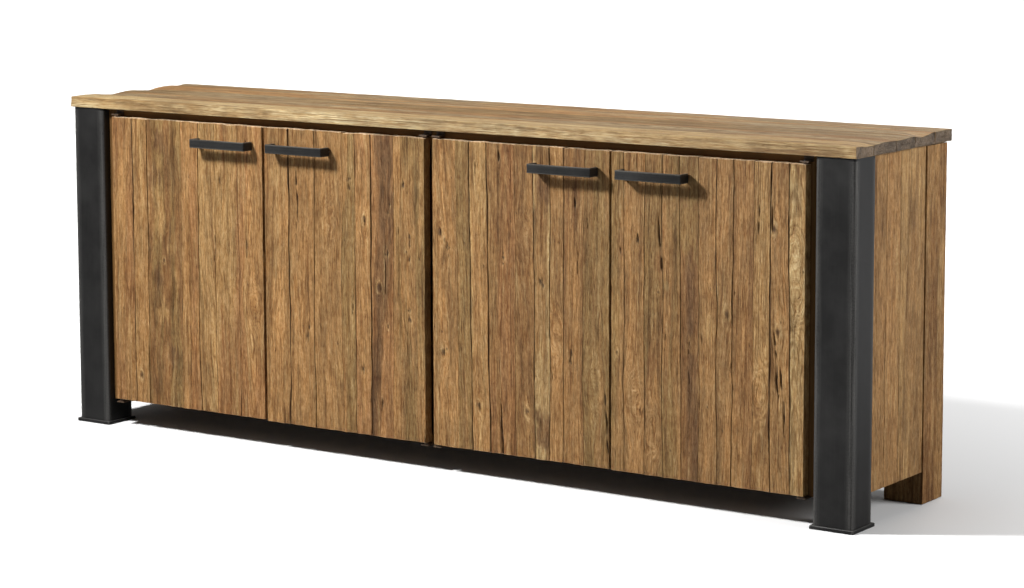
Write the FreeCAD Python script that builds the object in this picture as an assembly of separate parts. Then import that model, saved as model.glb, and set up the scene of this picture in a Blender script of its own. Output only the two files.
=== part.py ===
import FreeCAD, Part
import os

# Four-door sideboard of reclaimed boards on a pair of black steel legs and a pair of wooden posts.
# Millimetres. +X to the viewer's right, +Y to the back, +Z up.
# The origin is on the floor, at the middle of the whole object's width and depth (handles included).

# ---- driving dimensions ----
WIDTH = 2250.0
HEIGHT = 840.0
TOP_DEPTH = 450.0
TOP_THICK = 28.0
HANDLE_REACH = 33.0

# ---- planes worked out from them ----
FRONT = HANDLE_REACH - (TOP_DEPTH + HANDLE_REACH) / 2  # front edge of the top, and the doors' faces
BACK = FRONT + TOP_DEPTH
UNDER_TOP = HEIGHT - TOP_THICK

# ---- top: five boards glued edge to edge, front to back ----
TOP_BOARD_WIDTHS = [78.0, 104.0, 92.0, 96.0, 80.0]
TOP_EDGE_ROUND = 3.0

# ---- front legs: steel tube, foot plate below, top plate with a screw tab behind ----
LEG_WIDTH = 98.0
LEG_DEPTH = 92.0
LEG_WALL = 3.0
LEG_ROUND = 8.0
LEG_SETBACK = 5.0
END_OVERHANG = 7.0
FOOT_LIP = 5.0
FOOT_THICK = 8.0
FOOT_ROUND = 3.0
LEG_PLATE_THICK = 6.0
LEG_TAB_WIDTH = 70.0
LEG_TAB_DEPTH = 60.0

# ---- rear posts, outer side planks and the rails they are glued to ----
POST_DEPTH = 99.0
BACK_SETBACK = 11.0
POST_ROUND = 4.0
SIDE_PLANK_WIDTHS = [58.0, 67.0, 118.0]
SIDE_PLANK_THICK = 20.0
SIDE_PLANK_INSET = 2.0
SIDE_PLANK_BOTTOM = 74.0
SIDE_RAIL_HEIGHT = 50.0
SIDE_RAIL_BOTTOM = 80.0

# ---- inner case ----
INNER_SIDE_THICK = 40.0
PANEL_THICK = 22.0
CASE_SETBACK = 30.0
TOP_RAIL_HEIGHT = 44.0
BACK_PANEL_THICK = 8.0
SHELF_UNDERSIDE = 420.0
SHELF_FRONT_GAP = 20.0
SHELF_CLEARANCE = 2.0

# ---- doors: left edge, hinged side (-1 left, +1 right) and plank widths from left to right ----
DOORS = [
    {"left": -988.0, "hinge": -1, "planks": [67.0, 47.0, 113.0, 55.0, 53.0, 76.0, 77.0]},
    {"left": -494.0, "hinge": 1, "planks": [76.0, 77.0, 84.0, 39.0, 47.0, 67.0, 92.0]},
    {"left": 10.0, "hinge": -1, "planks": [71.0, 38.0, 50.0, 75.0, 52.0, 44.0, 37.0, 54.0, 70.0]},
    {"left": 505.0, "hinge": 1,
     "planks": [34.0, 55.0, 47.0, 47.0, 46.0, 46.0, 39.0, 52.0, 44.0, 46.0, 38.0]},
]
DOOR_BOTTOM = 66.5
DOOR_TOP = 795.0
DOOR_THICK = 27.0
BATTEN_HEIGHT = 70.0
BATTEN_THICK = 16.0
BATTEN_INSET = 30.0
BATTEN_BOTTOMS = [130.0, 655.0]

# ---- door pivots: a pin in a bush at the top and at the bottom of the hinged edge ----
PIVOT_FROM_EDGE = 7.5
PIVOT_FROM_FACE = 15.0
PIN_RADIUS = 3.0
PIN_DEPTH = 20.0
PIN_HEAD_RADIUS = 4.5
PIN_HEAD_THICK = 1.5
BUSH_RADIUS = 4.5
BUSH_FLANGE_RADIUS = 7.0
BUSH_FLANGE_THICK = 1.5
FLANGE_GAP = 0.5
RUNNING_CLEARANCE = 0.05
BRACKET_THICK = 3.0
BRACKET_WIDTH = 22.0
BRACKET_NOSE = 8.0
BRACKET_REACH = 60.0
BRACKET_TOP_GAP = 1.0

# ---- handles: flat bar bent into a U, fixed by screws from inside the door ----
HANDLE_LENGTH = 172.0
HANDLE_HEIGHT = 21.0
HANDLE_BAR = 7.0
HANDLE_ROUND = 1.5
HANDLE_FROM_EDGE = 30.0
HANDLE_CENTRE_Z = 745.0
HANDLE_SCREW_RADIUS = 2.0
HANDLE_SCREW_GRIP = 10.0
HANDLE_SCREW_HEAD_RADIUS = 4.0
HANDLE_SCREW_HEAD = 2.5

# ---- wood screws ----
CASE_SCREW_RADIUS = 2.5
CASE_SCREW_LENGTH = 50.0
CASE_SCREW_HEAD_RADIUS = 5.0
CASE_SCREW_HEAD = 3.0
CASE_SCREW_XS = [-800.0, -300.0, 300.0, 800.0]
COUNTERBORE_RADIUS = 6.0
COUNTERBORE_DEPTH = 16.0
SMALL_SCREW_RADIUS = 1.75
SMALL_SCREW_LENGTH = 16.0
SMALL_SCREW_HEAD_RADIUS = 3.0
SMALL_SCREW_HEAD = 1.5
BRACKET_SCREW_SPREAD = 7.0

# ---- shelf pins ----
SHELF_PIN_RADIUS = 2.5
SHELF_PIN_IN = 8.0
SHELF_PIN_PAD = 9.0
SHELF_PIN_PAD_HEIGHT = 5.0
SHELF_PIN_FROM_ENDS = 50.0

# ---- magnet catches ----
CATCH_LENGTH = 45.0
CATCH_HEIGHT = 14.0
CATCH_DEPTH = 18.0
CATCH_FROM_EDGE = 20.0
STRIKE_THICK = 1.5
STRIKE_GAP = 0.2

X = FreeCAD.Vector(1, 0, 0)
Y = FreeCAD.Vector(0, 1, 0)
Z = FreeCAD.Vector(0, 0, 1)


# ---- shape helpers ----
def box(x0, x1, y0, y1, z0, z1):
    """Block between two corners."""
    return Part.makeBox(x1 - x0, y1 - y0, z1 - z0, FreeCAD.Vector(x0, y0, z0))


def rod(radius, length, x, y, z, along):
    """Cylinder that starts at a point and runs along a direction."""
    return Part.makeCylinder(radius, length, FreeCAD.Vector(x, y, z), along)


def rounded(solid, radius, direction):
    """The solid with its straight edges along one direction rounded."""
    edges = [e for e in solid.Edges if abs(e.tangentAt(e.FirstParameter).dot(direction)) > 0.999]
    return solid.makeFillet(radius, edges)


def mirrored(side, near, far):
    """Low and high X of a span given from the middle outwards, on the left (-1) or the right (+1)."""
    return sorted((side * near, side * far))


def cut_all(solid, tools):
    """The solid less every tool."""
    return solid.cut(tools) if tools else solid


def steps(start, widths):
    """Pairs of low and high limits of pieces laid one after another."""
    spans = []
    for width in widths:
        spans.append((start, start + width))
        start += width
    return spans


def save(name, solids):
    """Write one node, a single solid or a group of separate solids."""
    shape = solids[0] if len(solids) == 1 else Part.makeCompound(solids)
    shape.exportStep("parts/" + name + ".step")
    print(name, len(solids), "solid(s),", round(shape.Volume / 1000.0, 1), "cm3")


# ---- places shared by several pieces ----
LEG_OUTER = WIDTH / 2 - END_OVERHANG
LEG_INNER = LEG_OUTER - LEG_WIDTH
LEG_FRONT = FRONT + LEG_SETBACK
LEG_BACK = LEG_FRONT + LEG_DEPTH
CASE_FRONT = FRONT + CASE_SETBACK
CASE_BOTTOM = DOOR_BOTTOM - BUSH_FLANGE_THICK - FLANGE_GAP
BRACKET_TOP_Z = DOOR_TOP + BUSH_FLANGE_THICK + FLANGE_GAP
CASE_BACK = BACK - BACK_SETBACK
POST_FRONT = CASE_BACK - POST_DEPTH
PANEL_BACK = CASE_BACK - BACK_PANEL_THICK
CASE_INNER = LEG_INNER - INNER_SIDE_THICK
PARTITION_HALF = PANEL_THICK / 2
FLOOR_TOP = CASE_BOTTOM + PANEL_THICK
TOP_RAIL_BOTTOM = UNDER_TOP - TOP_RAIL_HEIGHT
LEG_PLATE_BOTTOM = UNDER_TOP - LEG_PLATE_THICK
PIVOT_Y = FRONT + PIVOT_FROM_FACE
DOOR_BACK = FRONT + DOOR_THICK
TOP_RAIL_YS = [CASE_FRONT, PANEL_BACK - PANEL_THICK]
LEG_SCREW_YS = [LEG_BACK + LEG_TAB_DEPTH * share for share in (0.3, 0.75)]


def door_right(door):
    return door["left"] + sum(door["planks"])


def hinged_edge(door):
    return door["left"] if door["hinge"] < 0 else door_right(door)


def free_edge(door):
    return door_right(door) if door["hinge"] < 0 else door["left"]


def pivot_x(door):
    return hinged_edge(door) - door["hinge"] * PIVOT_FROM_EDGE


def bracket_screw_xs(door):
    return [pivot_x(door) - BRACKET_SCREW_SPREAD, pivot_x(door) + BRACKET_SCREW_SPREAD]


def catch_xs(door):
    """Low and high X of the magnet catch near the door's free edge."""
    near = free_edge(door) + door["hinge"] * CATCH_FROM_EDGE
    return sorted((near, near + door["hinge"] * CATCH_LENGTH))


def handle_xs(door):
    """Low and high X of the handle near the door's free edge."""
    near = free_edge(door) + door["hinge"] * HANDLE_FROM_EDGE
    return sorted((near, near + door["hinge"] * HANDLE_LENGTH))


def handle_screw_xs(door):
    low, high = handle_xs(door)
    return [low + HANDLE_BAR / 2, high - HANDLE_BAR / 2]


# ---- screws, and the holes they sit in ----
def wood_screw(radius, length, head_radius, head, x, y, z, along):
    """Screw whose head's bearing face is at the point, with its shank running along the direction."""
    start = FreeCAD.Vector(x, y, z) - along * head
    return rod(head_radius, head, *start, along).fuse(rod(radius, length, x, y, z, along)).removeSplitter()


def screw_hole(radius, length, x, y, z, along):
    return rod(radius + RUNNING_CLEARANCE, length + 1.0, x, y, z, along)


def leg_screw_places():
    """Leg tabs are screwed down into the upper side rails, head flush in the tab."""
    middle = (LEG_INNER + LEG_OUTER - SIDE_PLANK_THICK) / 2
    return [(side * middle, y, UNDER_TOP - CASE_SCREW_HEAD, -Z) for side in (-1, 1) for y in LEG_SCREW_YS]


def top_screw_places():
    """The top is screwed down onto the case through the top rails."""
    z = TOP_RAIL_BOTTOM + COUNTERBORE_DEPTH
    return [(x, y + PANEL_THICK / 2, z, Z) for x in CASE_SCREW_XS for y in TOP_RAIL_YS]


def case_screw_holes(places):
    """Shank clearance and head clearance for the long screws."""
    holes = []
    for x, y, z, along in places:
        holes.append(screw_hole(CASE_SCREW_RADIUS, CASE_SCREW_LENGTH, x, y, z, along))
        head = FreeCAD.Vector(x, y, z) - along * COUNTERBORE_DEPTH
        holes.append(rod(COUNTERBORE_RADIUS, COUNTERBORE_DEPTH, *head, along))
    return holes


def small_screw_places():
    """Short screws of the pivot brackets and the magnet catches: point and direction."""
    places = []
    for door in DOORS:
        for x in bracket_screw_xs(door):
            upper = (BRACKET_TOP_Z + BRACKET_THICK + UNDER_TOP - BRACKET_TOP_GAP) / 2
            places.append((x, CASE_FRONT - BRACKET_THICK, upper, Y))
            places.append((x, CASE_FRONT + BRACKET_REACH / 4, CASE_BOTTOM - BRACKET_THICK, Z))
        low, high = catch_xs(door)
        places.append(((low + high) / 2, CASE_FRONT + PANEL_THICK / 2, TOP_RAIL_BOTTOM - CATCH_HEIGHT / 2, Z))
    return places


def small_screw_holes():
    return [screw_hole(SMALL_SCREW_RADIUS, SMALL_SCREW_LENGTH, *place) for place in small_screw_places()]


def catch_recesses():
    """Pockets in the catch bodies for the screw heads."""
    depth = CATCH_HEIGHT / 2
    pockets = []
    for x, y, z, along in small_screw_places():
        if z == TOP_RAIL_BOTTOM - CATCH_HEIGHT / 2:
            pockets.append(rod(SMALL_SCREW_HEAD_RADIUS + 0.5, depth, x, y, z - depth, along))
    return pockets


# ---- top ----
def top_boards():
    """Five long boards; the outer long edges and the ends are eased."""
    holes = case_screw_holes(top_screw_places())
    boards = []
    for y0, y1 in steps(FRONT, TOP_BOARD_WIDTHS):
        board = box(-WIDTH / 2, WIDTH / 2, y0, y1, UNDER_TOP, HEIGHT)
        eased = [e for e in board.Edges if abs(e.tangentAt(0).y) > 0.999]
        outer = FRONT if y0 == FRONT else BACK
        for e in board.Edges:
            along_x = abs(e.tangentAt(0).x) > 0.999
            if along_x and abs(e.CenterOfMass.y - outer) < 0.01:
                eased.append(e)
        board = board.makeFillet(TOP_EDGE_ROUND, eased)
        near = [hole for hole in holes if y0 < hole.CenterOfMass.y < y1]
        boards.append(cut_all(board, near))
    return boards


# ---- legs and posts ----
def leg_tube(side):
    x0, x1 = mirrored(side, LEG_INNER, LEG_OUTER)
    outer = rounded(box(x0, x1, LEG_FRONT, LEG_BACK, FOOT_THICK, LEG_PLATE_BOTTOM), LEG_ROUND, Z)
    inner = box(x0 + LEG_WALL, x1 - LEG_WALL, LEG_FRONT + LEG_WALL, LEG_BACK - LEG_WALL,
                FOOT_THICK, LEG_PLATE_BOTTOM)
    return outer.cut(rounded(inner, LEG_ROUND - LEG_WALL, Z))


def foot_plate(side):
    x0, x1 = mirrored(side, LEG_INNER - FOOT_LIP, LEG_OUTER + FOOT_LIP)
    return rounded(box(x0, x1, LEG_FRONT - FOOT_LIP, LEG_BACK + FOOT_LIP, 0, FOOT_THICK), FOOT_ROUND, Z)


def leg_top_plate(side):
    """Plate welded in the top of the tube, with a tab behind it for the two screws."""
    x0, x1 = mirrored(side, LEG_INNER, LEG_OUTER)
    plate = rounded(box(x0, x1, LEG_FRONT, LEG_BACK, LEG_PLATE_BOTTOM, UNDER_TOP), LEG_ROUND, Z)
    middle = side * (LEG_INNER + LEG_OUTER - SIDE_PLANK_THICK) / 2
    tab = box(middle - LEG_TAB_WIDTH / 2, middle + LEG_TAB_WIDTH / 2, LEG_BACK - LEG_DEPTH / 2,
              LEG_BACK + LEG_TAB_DEPTH, LEG_PLATE_BOTTOM, UNDER_TOP)
    return cut_all(plate.fuse(tab).removeSplitter(), case_screw_holes(leg_screw_places()))


def rear_post(side):
    x0, x1 = mirrored(side, LEG_INNER, LEG_OUTER)
    return rounded(box(x0, x1, POST_FRONT, CASE_BACK, 0, UNDER_TOP), POST_ROUND, Z)


# ---- sides ----
def side_planks(side):
    outer = LEG_OUTER - SIDE_PLANK_INSET
    x0, x1 = mirrored(side, outer - SIDE_PLANK_THICK, outer)
    return [box(x0, x1, y0, y1, SIDE_PLANK_BOTTOM, UNDER_TOP) for y0, y1 in steps(LEG_BACK, SIDE_PLANK_WIDTHS)]


def side_rails(side):
    """Lower and upper rail between leg and post; the leg's tab lies on the upper one."""
    x0, x1 = mirrored(side, LEG_INNER, LEG_OUTER - SIDE_PLANK_INSET - SIDE_PLANK_THICK)
    rails = []
    for z0 in (SIDE_RAIL_BOTTOM, LEG_PLATE_BOTTOM - SIDE_RAIL_HEIGHT):
        rail = box(x0, x1, LEG_BACK, POST_FRONT, z0, z0 + SIDE_RAIL_HEIGHT)
        rails.append(cut_all(rail, case_screw_holes(leg_screw_places())))
    return rails


# ---- inner case ----
def shelf_pin_places():
    """Face of the panel, direction into the panel and Y of each shelf pin."""
    ys = [CASE_FRONT + SHELF_FRONT_GAP + SHELF_PIN_FROM_ENDS, PANEL_BACK - SHELF_PIN_FROM_ENDS]
    faces = [(-CASE_INNER, -X), (-PARTITION_HALF, X), (PARTITION_HALF, -X), (CASE_INNER, X)]
    return [(face, into, y) for face, into in faces for y in ys]


SHELF_PIN_Z = SHELF_UNDERSIDE - SHELF_PIN_PAD_HEIGHT / 2


def shelf_pin_holes():
    return [screw_hole(SHELF_PIN_RADIUS, SHELF_PIN_IN, face, y, SHELF_PIN_Z, into)
            for face, into, y in shelf_pin_places()]


def inner_side(side):
    x0, x1 = mirrored(side, CASE_INNER, LEG_INNER)
    panel = box(x0, x1, CASE_FRONT, CASE_BACK, CASE_BOTTOM, UNDER_TOP)
    return cut_all(panel, shelf_pin_holes() + small_screw_holes())


def bottom_panel():
    panel = box(-CASE_INNER, CASE_INNER, CASE_FRONT, PANEL_BACK, CASE_BOTTOM, FLOOR_TOP)
    return cut_all(panel, small_screw_holes())


def centre_partition():
    panel = box(-PARTITION_HALF, PARTITION_HALF, CASE_FRONT, PANEL_BACK, FLOOR_TOP, TOP_RAIL_BOTTOM)
    return cut_all(panel, shelf_pin_holes())


def top_rails():
    """Front and back rail under the top, across the whole case."""
    holes = case_screw_holes(top_screw_places()) + small_screw_holes()
    rails = [box(-CASE_INNER, CASE_INNER, y, y + PANEL_THICK, TOP_RAIL_BOTTOM, UNDER_TOP) for y in TOP_RAIL_YS]
    return [cut_all(rail, holes) for rail in rails]


def back_panel(side):
    x0, x1 = mirrored(side, 0, CASE_INNER)
    return box(x0, x1, PANEL_BACK, CASE_BACK, CASE_BOTTOM, UNDER_TOP)


def shelf(side):
    x0, x1 = mirrored(side, PARTITION_HALF + SHELF_CLEARANCE, CASE_INNER - SHELF_CLEARANCE)
    return box(x0, x1, CASE_FRONT + SHELF_FRONT_GAP, PANEL_BACK - SHELF_CLEARANCE,
               SHELF_UNDERSIDE, SHELF_UNDERSIDE + PANEL_THICK)


def shelf_pins():
    """Peg in the panel with a flat-topped pad under the shelf."""
    pins = []
    for face, into, y in shelf_pin_places():
        peg = rod(SHELF_PIN_RADIUS, SHELF_PIN_IN, face, y, SHELF_PIN_Z, into)
        x0, x1 = sorted((face, face - into.x * SHELF_PIN_PAD))
        pad = box(x0, x1, y - SHELF_PIN_PAD / 2, y + SHELF_PIN_PAD / 2,
                  SHELF_UNDERSIDE - SHELF_PIN_PAD_HEIGHT, SHELF_UNDERSIDE)
        pins.append(pad.fuse(peg))
    return pins


# ---- doors ----
def door_planks(door):
    """Planks edge to edge, bored for the pivot bushes and the handle screws."""
    bores = []
    for z in (DOOR_BOTTOM, DOOR_TOP - PIN_DEPTH - 1.0):
        bores.append(rod(BUSH_RADIUS + RUNNING_CLEARANCE, PIN_DEPTH + 1.0, pivot_x(door), PIVOT_Y, z, Z))
    for x in handle_screw_xs(door):
        bores.append(screw_hole(HANDLE_SCREW_RADIUS, DOOR_THICK, x, FRONT - 1.0, HANDLE_CENTRE_Z, Y))
    planks = []
    for x0, x1 in steps(door["left"], door["planks"]):
        planks.append(cut_all(box(x0, x1, FRONT, DOOR_BACK, DOOR_BOTTOM, DOOR_TOP), bores))
    return planks


def door_battens(door):
    """Two ledges across the back of the planks."""
    x0 = door["left"] + BATTEN_INSET
    x1 = door_right(door) - BATTEN_INSET
    return [box(x0, x1, DOOR_BACK, DOOR_BACK + BATTEN_THICK, z, z + BATTEN_HEIGHT) for z in BATTEN_BOTTOMS]


def handle(door):
    """U of flat bar; its ends are tapped for the screws."""
    x0, x1 = handle_xs(door)
    z0 = HANDLE_CENTRE_Z - HANDLE_HEIGHT / 2
    z1 = HANDLE_CENTRE_Z + HANDLE_HEIGHT / 2
    block = rounded(box(x0, x1, FRONT - HANDLE_REACH, FRONT, z0, z1), HANDLE_ROUND, Z)
    finger_gap = box(x0 + HANDLE_BAR, x1 - HANDLE_BAR, FRONT - HANDLE_REACH + HANDLE_BAR, FRONT, z0, z1)
    taps = [rod(HANDLE_SCREW_RADIUS + RUNNING_CLEARANCE, HANDLE_SCREW_GRIP + 1.0, x,
                FRONT - HANDLE_SCREW_GRIP - 1.0, HANDLE_CENTRE_Z, Y) for x in handle_screw_xs(door)]
    return block.cut(finger_gap).cut(taps)


def handle_screws(door):
    length = DOOR_THICK + HANDLE_SCREW_GRIP
    return [wood_screw(HANDLE_SCREW_RADIUS, length, HANDLE_SCREW_HEAD_RADIUS, HANDLE_SCREW_HEAD,
                       x, DOOR_BACK, HANDLE_CENTRE_Z, -Y) for x in handle_screw_xs(door)]


def pivot_bushes(door):
    """Flanged bush in the door's top edge and in its bottom edge."""
    bushes = []
    for z, out in ((DOOR_BOTTOM, -Z), (DOOR_TOP, Z)):
        sleeve = rod(BUSH_RADIUS, PIN_DEPTH, pivot_x(door), PIVOT_Y, z, -out)
        flange = rod(BUSH_FLANGE_RADIUS, BUSH_FLANGE_THICK, pivot_x(door), PIVOT_Y, z, out)
        start = FreeCAD.Vector(pivot_x(door), PIVOT_Y, z) + out * (BUSH_FLANGE_THICK + 1.0)
        bore = rod(PIN_RADIUS + RUNNING_CLEARANCE, PIN_DEPTH + BUSH_FLANGE_THICK + 2.0, *start, -out)
        bushes.append(sleeve.fuse(flange).removeSplitter().cut(bore))
    return bushes


def strike_plate(door):
    low, high = catch_xs(door)
    return box(low, high, DOOR_BACK, DOOR_BACK + STRIKE_THICK, TOP_RAIL_BOTTOM - CATCH_HEIGHT, TOP_RAIL_BOTTOM)


# ---- door fittings on the case ----
def magnet_catches():
    """Magnet blocks under the front top rail, facing the doors' strike plates."""
    blocks = []
    for door in DOORS:
        low, high = catch_xs(door)
        front = DOOR_BACK + STRIKE_THICK + STRIKE_GAP
        block = box(low, high, front, front + CATCH_DEPTH, TOP_RAIL_BOTTOM - CATCH_HEIGHT, TOP_RAIL_BOTTOM)
        blocks.append(cut_all(block, catch_recesses() + small_screw_holes()))
    return blocks


def pin_hole(door, z):
    return rod(PIN_RADIUS + RUNNING_CLEARANCE, BRACKET_THICK, pivot_x(door), PIVOT_Y, z, Z)


def pivot_brackets():
    """Per door: an angle over the door on the front top rail, and a flat plate under the case."""
    brackets = []
    for door in DOORS:
        x0 = pivot_x(door) - BRACKET_WIDTH / 2
        x1 = pivot_x(door) + BRACKET_WIDTH / 2
        nose = PIVOT_Y - BRACKET_NOSE
        shelf_leg = box(x0, x1, nose, CASE_FRONT, BRACKET_TOP_Z, BRACKET_TOP_Z + BRACKET_THICK)
        wall_leg = box(x0, x1, CASE_FRONT - BRACKET_THICK, CASE_FRONT, BRACKET_TOP_Z, UNDER_TOP - BRACKET_TOP_GAP)
        upper = shelf_leg.fuse(wall_leg).removeSplitter().cut(pin_hole(door, BRACKET_TOP_Z))
        z0 = CASE_BOTTOM - BRACKET_THICK
        lower = box(x0, x1, nose, CASE_FRONT + BRACKET_REACH / 2, z0, CASE_BOTTOM).cut(pin_hole(door, z0))
        brackets += [cut_all(upper, small_screw_holes()), cut_all(lower, small_screw_holes())]
    return brackets


def pivot_pins():
    """Headed pins through the brackets into the bushes."""
    pins = []
    for door in DOORS:
        for outer, into in ((BRACKET_TOP_Z + BRACKET_THICK, -Z), (CASE_BOTTOM - BRACKET_THICK, Z)):
            inner_end = DOOR_TOP - PIN_DEPTH if into == -Z else DOOR_BOTTOM + PIN_DEPTH
            length = abs(inner_end - outer)
            pins.append(wood_screw(PIN_RADIUS, length, PIN_HEAD_RADIUS, PIN_HEAD_THICK,
                                   pivot_x(door), PIVOT_Y, outer, into))
    return pins


def case_screws():
    return [wood_screw(CASE_SCREW_RADIUS, CASE_SCREW_LENGTH, CASE_SCREW_HEAD_RADIUS, CASE_SCREW_HEAD, *place)
            for place in leg_screw_places() + top_screw_places()]


def bracket_screws():
    return [wood_screw(SMALL_SCREW_RADIUS, SMALL_SCREW_LENGTH, SMALL_SCREW_HEAD_RADIUS, SMALL_SCREW_HEAD, *place)
            for place in small_screw_places()]


# ---- write every node ----
os.makedirs("parts", exist_ok=True)

for number, board in enumerate(top_boards(), 1):
    save("top_board_" + str(number), [board])

for side_name, side in (("left", -1), ("right", 1)):
    save("front_leg_" + side_name, [leg_tube(side)])
    save("foot_plate_" + side_name, [foot_plate(side)])
    save("leg_top_plate_" + side_name, [leg_top_plate(side)])
    save("rear_post_" + side_name, [rear_post(side)])
    for number, plank in enumerate(side_planks(side), 1):
        save("side_plank_" + side_name + "_" + str(number), [plank])
    save("side_rails_" + side_name, side_rails(side))
    save("inner_side_" + side_name, [inner_side(side)])
    save("back_panel_" + side_name, [back_panel(side)])
    save("shelf_" + side_name, [shelf(side)])

save("bottom_panel", [bottom_panel()])
save("centre_partition", [centre_partition()])
save("top_rails", top_rails())
save("shelf_pins", shelf_pins())
save("magnet_catches", magnet_catches())
save("pivot_brackets", pivot_brackets())
save("pivot_pins", pivot_pins())
save("case_screws", case_screws())
save("bracket_screws", bracket_screws())

for number, door in enumerate(DOORS, 1):
    name = "door_" + str(number)
    save(name + "_planks", door_planks(door))
    save(name + "_battens", door_battens(door))
    save("handle_" + str(number), [handle(door)])
    save("handle_screws_" + str(number), handle_screws(door))
    save("pivot_bushes_" + str(number), pivot_bushes(door))
    save("strike_plate_" + str(number), [strike_plate(door)])
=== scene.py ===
import math
from dataclasses import dataclass

import bpy
import numpy as np
from mathutils import Matrix, Vector


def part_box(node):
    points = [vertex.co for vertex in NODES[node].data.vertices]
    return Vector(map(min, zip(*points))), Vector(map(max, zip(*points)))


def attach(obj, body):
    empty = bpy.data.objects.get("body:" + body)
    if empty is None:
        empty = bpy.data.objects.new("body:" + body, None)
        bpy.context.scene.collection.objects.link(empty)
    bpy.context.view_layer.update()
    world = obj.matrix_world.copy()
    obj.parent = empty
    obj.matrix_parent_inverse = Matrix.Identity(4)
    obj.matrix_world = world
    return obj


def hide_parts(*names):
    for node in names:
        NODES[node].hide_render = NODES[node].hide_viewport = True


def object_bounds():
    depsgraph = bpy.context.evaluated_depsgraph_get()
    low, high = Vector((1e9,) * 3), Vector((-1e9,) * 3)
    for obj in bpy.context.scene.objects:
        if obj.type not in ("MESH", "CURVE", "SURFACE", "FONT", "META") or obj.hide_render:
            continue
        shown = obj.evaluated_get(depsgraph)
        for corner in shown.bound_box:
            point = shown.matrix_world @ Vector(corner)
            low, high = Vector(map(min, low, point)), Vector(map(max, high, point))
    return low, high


# Looks of a four-door sideboard in reclaimed teak and black steel. Metres, in the CAD model's frame.
# A plank has its own coordinates: a across it, d down into it from its face, and l along it.

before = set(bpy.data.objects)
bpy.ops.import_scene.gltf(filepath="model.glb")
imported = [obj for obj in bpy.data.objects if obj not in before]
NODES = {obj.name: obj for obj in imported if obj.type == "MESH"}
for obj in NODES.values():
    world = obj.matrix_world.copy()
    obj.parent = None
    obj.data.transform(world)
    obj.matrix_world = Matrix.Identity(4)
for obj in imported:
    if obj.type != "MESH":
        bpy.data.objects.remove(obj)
CAD_LOW, CAD_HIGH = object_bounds()
MM = 0.001
X, Y, Z = np.eye(3)
# the length of plank that the numbers of flaws are for, and how many seeds there are to draw from
DOOR_HEIGHT = 0.73
SEEDS = 10**6

# ---- wood tones, linear red, green and blue ----
TONES = {
    "honey": (0.330, 0.186, 0.072),
    "blond": (0.365, 0.225, 0.092),
    "russet": (0.292, 0.153, 0.060),
    "tan": (0.275, 0.157, 0.061),
    "olive": (0.240, 0.148, 0.056),
    "brown": (0.220, 0.116, 0.043),
    "umber": (0.165, 0.088, 0.036),
    "golden": (0.278, 0.209, 0.117),
    "straw": (0.380, 0.260, 0.118),
    "pale": (0.460, 0.352, 0.188),
}
VEIN = np.array((0.56, 0.47, 0.36))
BLEACHED = np.array(TONES["straw"]) * 1.12
# both ends of the door planks: pale worn end grain, made paler still as a painted highlight for the top ends
# that catch the light
PALE_END_AND_HIGHLIGHT = (0.70, 0.52, 0.34)
GREY_END = (0.120, 0.088, 0.060)
# how light the wood is that the end colours are for
MEAN_TONE = 0.17
# dirt and painted shade in cracks, holes and joints
DIRT_AND_SHADE = (0.040, 0.019, 0.007)
CASE_STAIN = (0.118, 0.060, 0.020)
SHELF_STAIN = (0.20, 0.115, 0.055)
PLY_STAIN = (0.11, 0.062, 0.030)

# ---- metal and plastic colours ----
STEEL = (0.0075, 0.0072, 0.0070)
# colour where legs and feet are rubbed: worn bare steel, made lighter as a painted highlight along corners
# and broken edges
WORN_AND_SHINING_STEEL = (0.12, 0.116, 0.110)
HANDLE_STEEL = (0.0056, 0.0058, 0.0060)
# colour where the handles are rubbed: worn bare steel, made lighter as a painted highlight along their broken
# edges
WORN_AND_SHINING_HANDLE = (0.15, 0.142, 0.128)
ZINC = (0.62, 0.62, 0.60)
NICKEL = (0.66, 0.62, 0.56)
BROWN_LACQUER = (0.060, 0.034, 0.016)
BROWN_PLASTIC = (0.10, 0.06, 0.035)

# ---- how each plank looks: main tone, second tone and figure, from left to right ----
DOOR_LOOKS = {
    1: [("russet", "honey", "straight"), ("honey", "blond", "straight"), ("brown", "olive", "burl"),
        ("russet", "honey", "straight"), ("blond", "tan", "straight"), ("blond", "russet", "straight"),
        ("honey", "russet", "cathedral")],
    2: [("honey", "tan", "knotty"), ("tan", "honey", "straight"), ("honey", "tan", "straight"),
        ("olive", "honey", "straight"), ("honey", "russet", "straight"), ("umber", "russet", "knotty"),
        ("olive", "honey", "knotty")],
    3: [("honey", "tan", "knotty"), ("olive", "tan", "straight"), ("honey", "blond", "straight"),
        ("tan", "russet", "cathedral"), ("brown", "tan", "straight"), ("straw", "tan", "straight"),
        ("honey", "tan", "straight"), ("brown", "honey", "straight"), ("tan", "olive", "straight")],
    4: [("tan", "olive", "knotty"), ("tan", "honey", "straight"), ("tan", "olive", "straight"),
        ("honey", "olive", "straight"), ("umber", "brown", "straight"), ("tan", "honey", "knotty"),
        ("tan", "honey", "straight"), ("brown", "honey", "straight"), ("tan", "blond", "cathedral"),
        ("tan", "honey", "straight"), ("straw", "blond", "cathedral")],
}
# how open each joint of a door is, from its left edge to its right edge: 0 tight, 9 wide
DOOR_JOINTS = {1: "57303245", 2: "58135715", 3: "5066354535", 4: "444522533754"}
# how far each of them leans, in millimetres: to the right going down
DOOR_LEANS = {1: (0,) * 8, 2: (0,) * 8, 3: (0, 5, 11, 12, 5, 6, 0, 0, -3, 0),
              4: (0, 0, 0, 3, 4, 4, 3, -3, 0, 0, 5, 0)}
# how much shorter each door's planks are at the bottom, in millimetres
DOOR_BOTTOM_CUTS = {1: 4.0, 2: 1.5, 3: 1.0, 4: 0.2}
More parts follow.
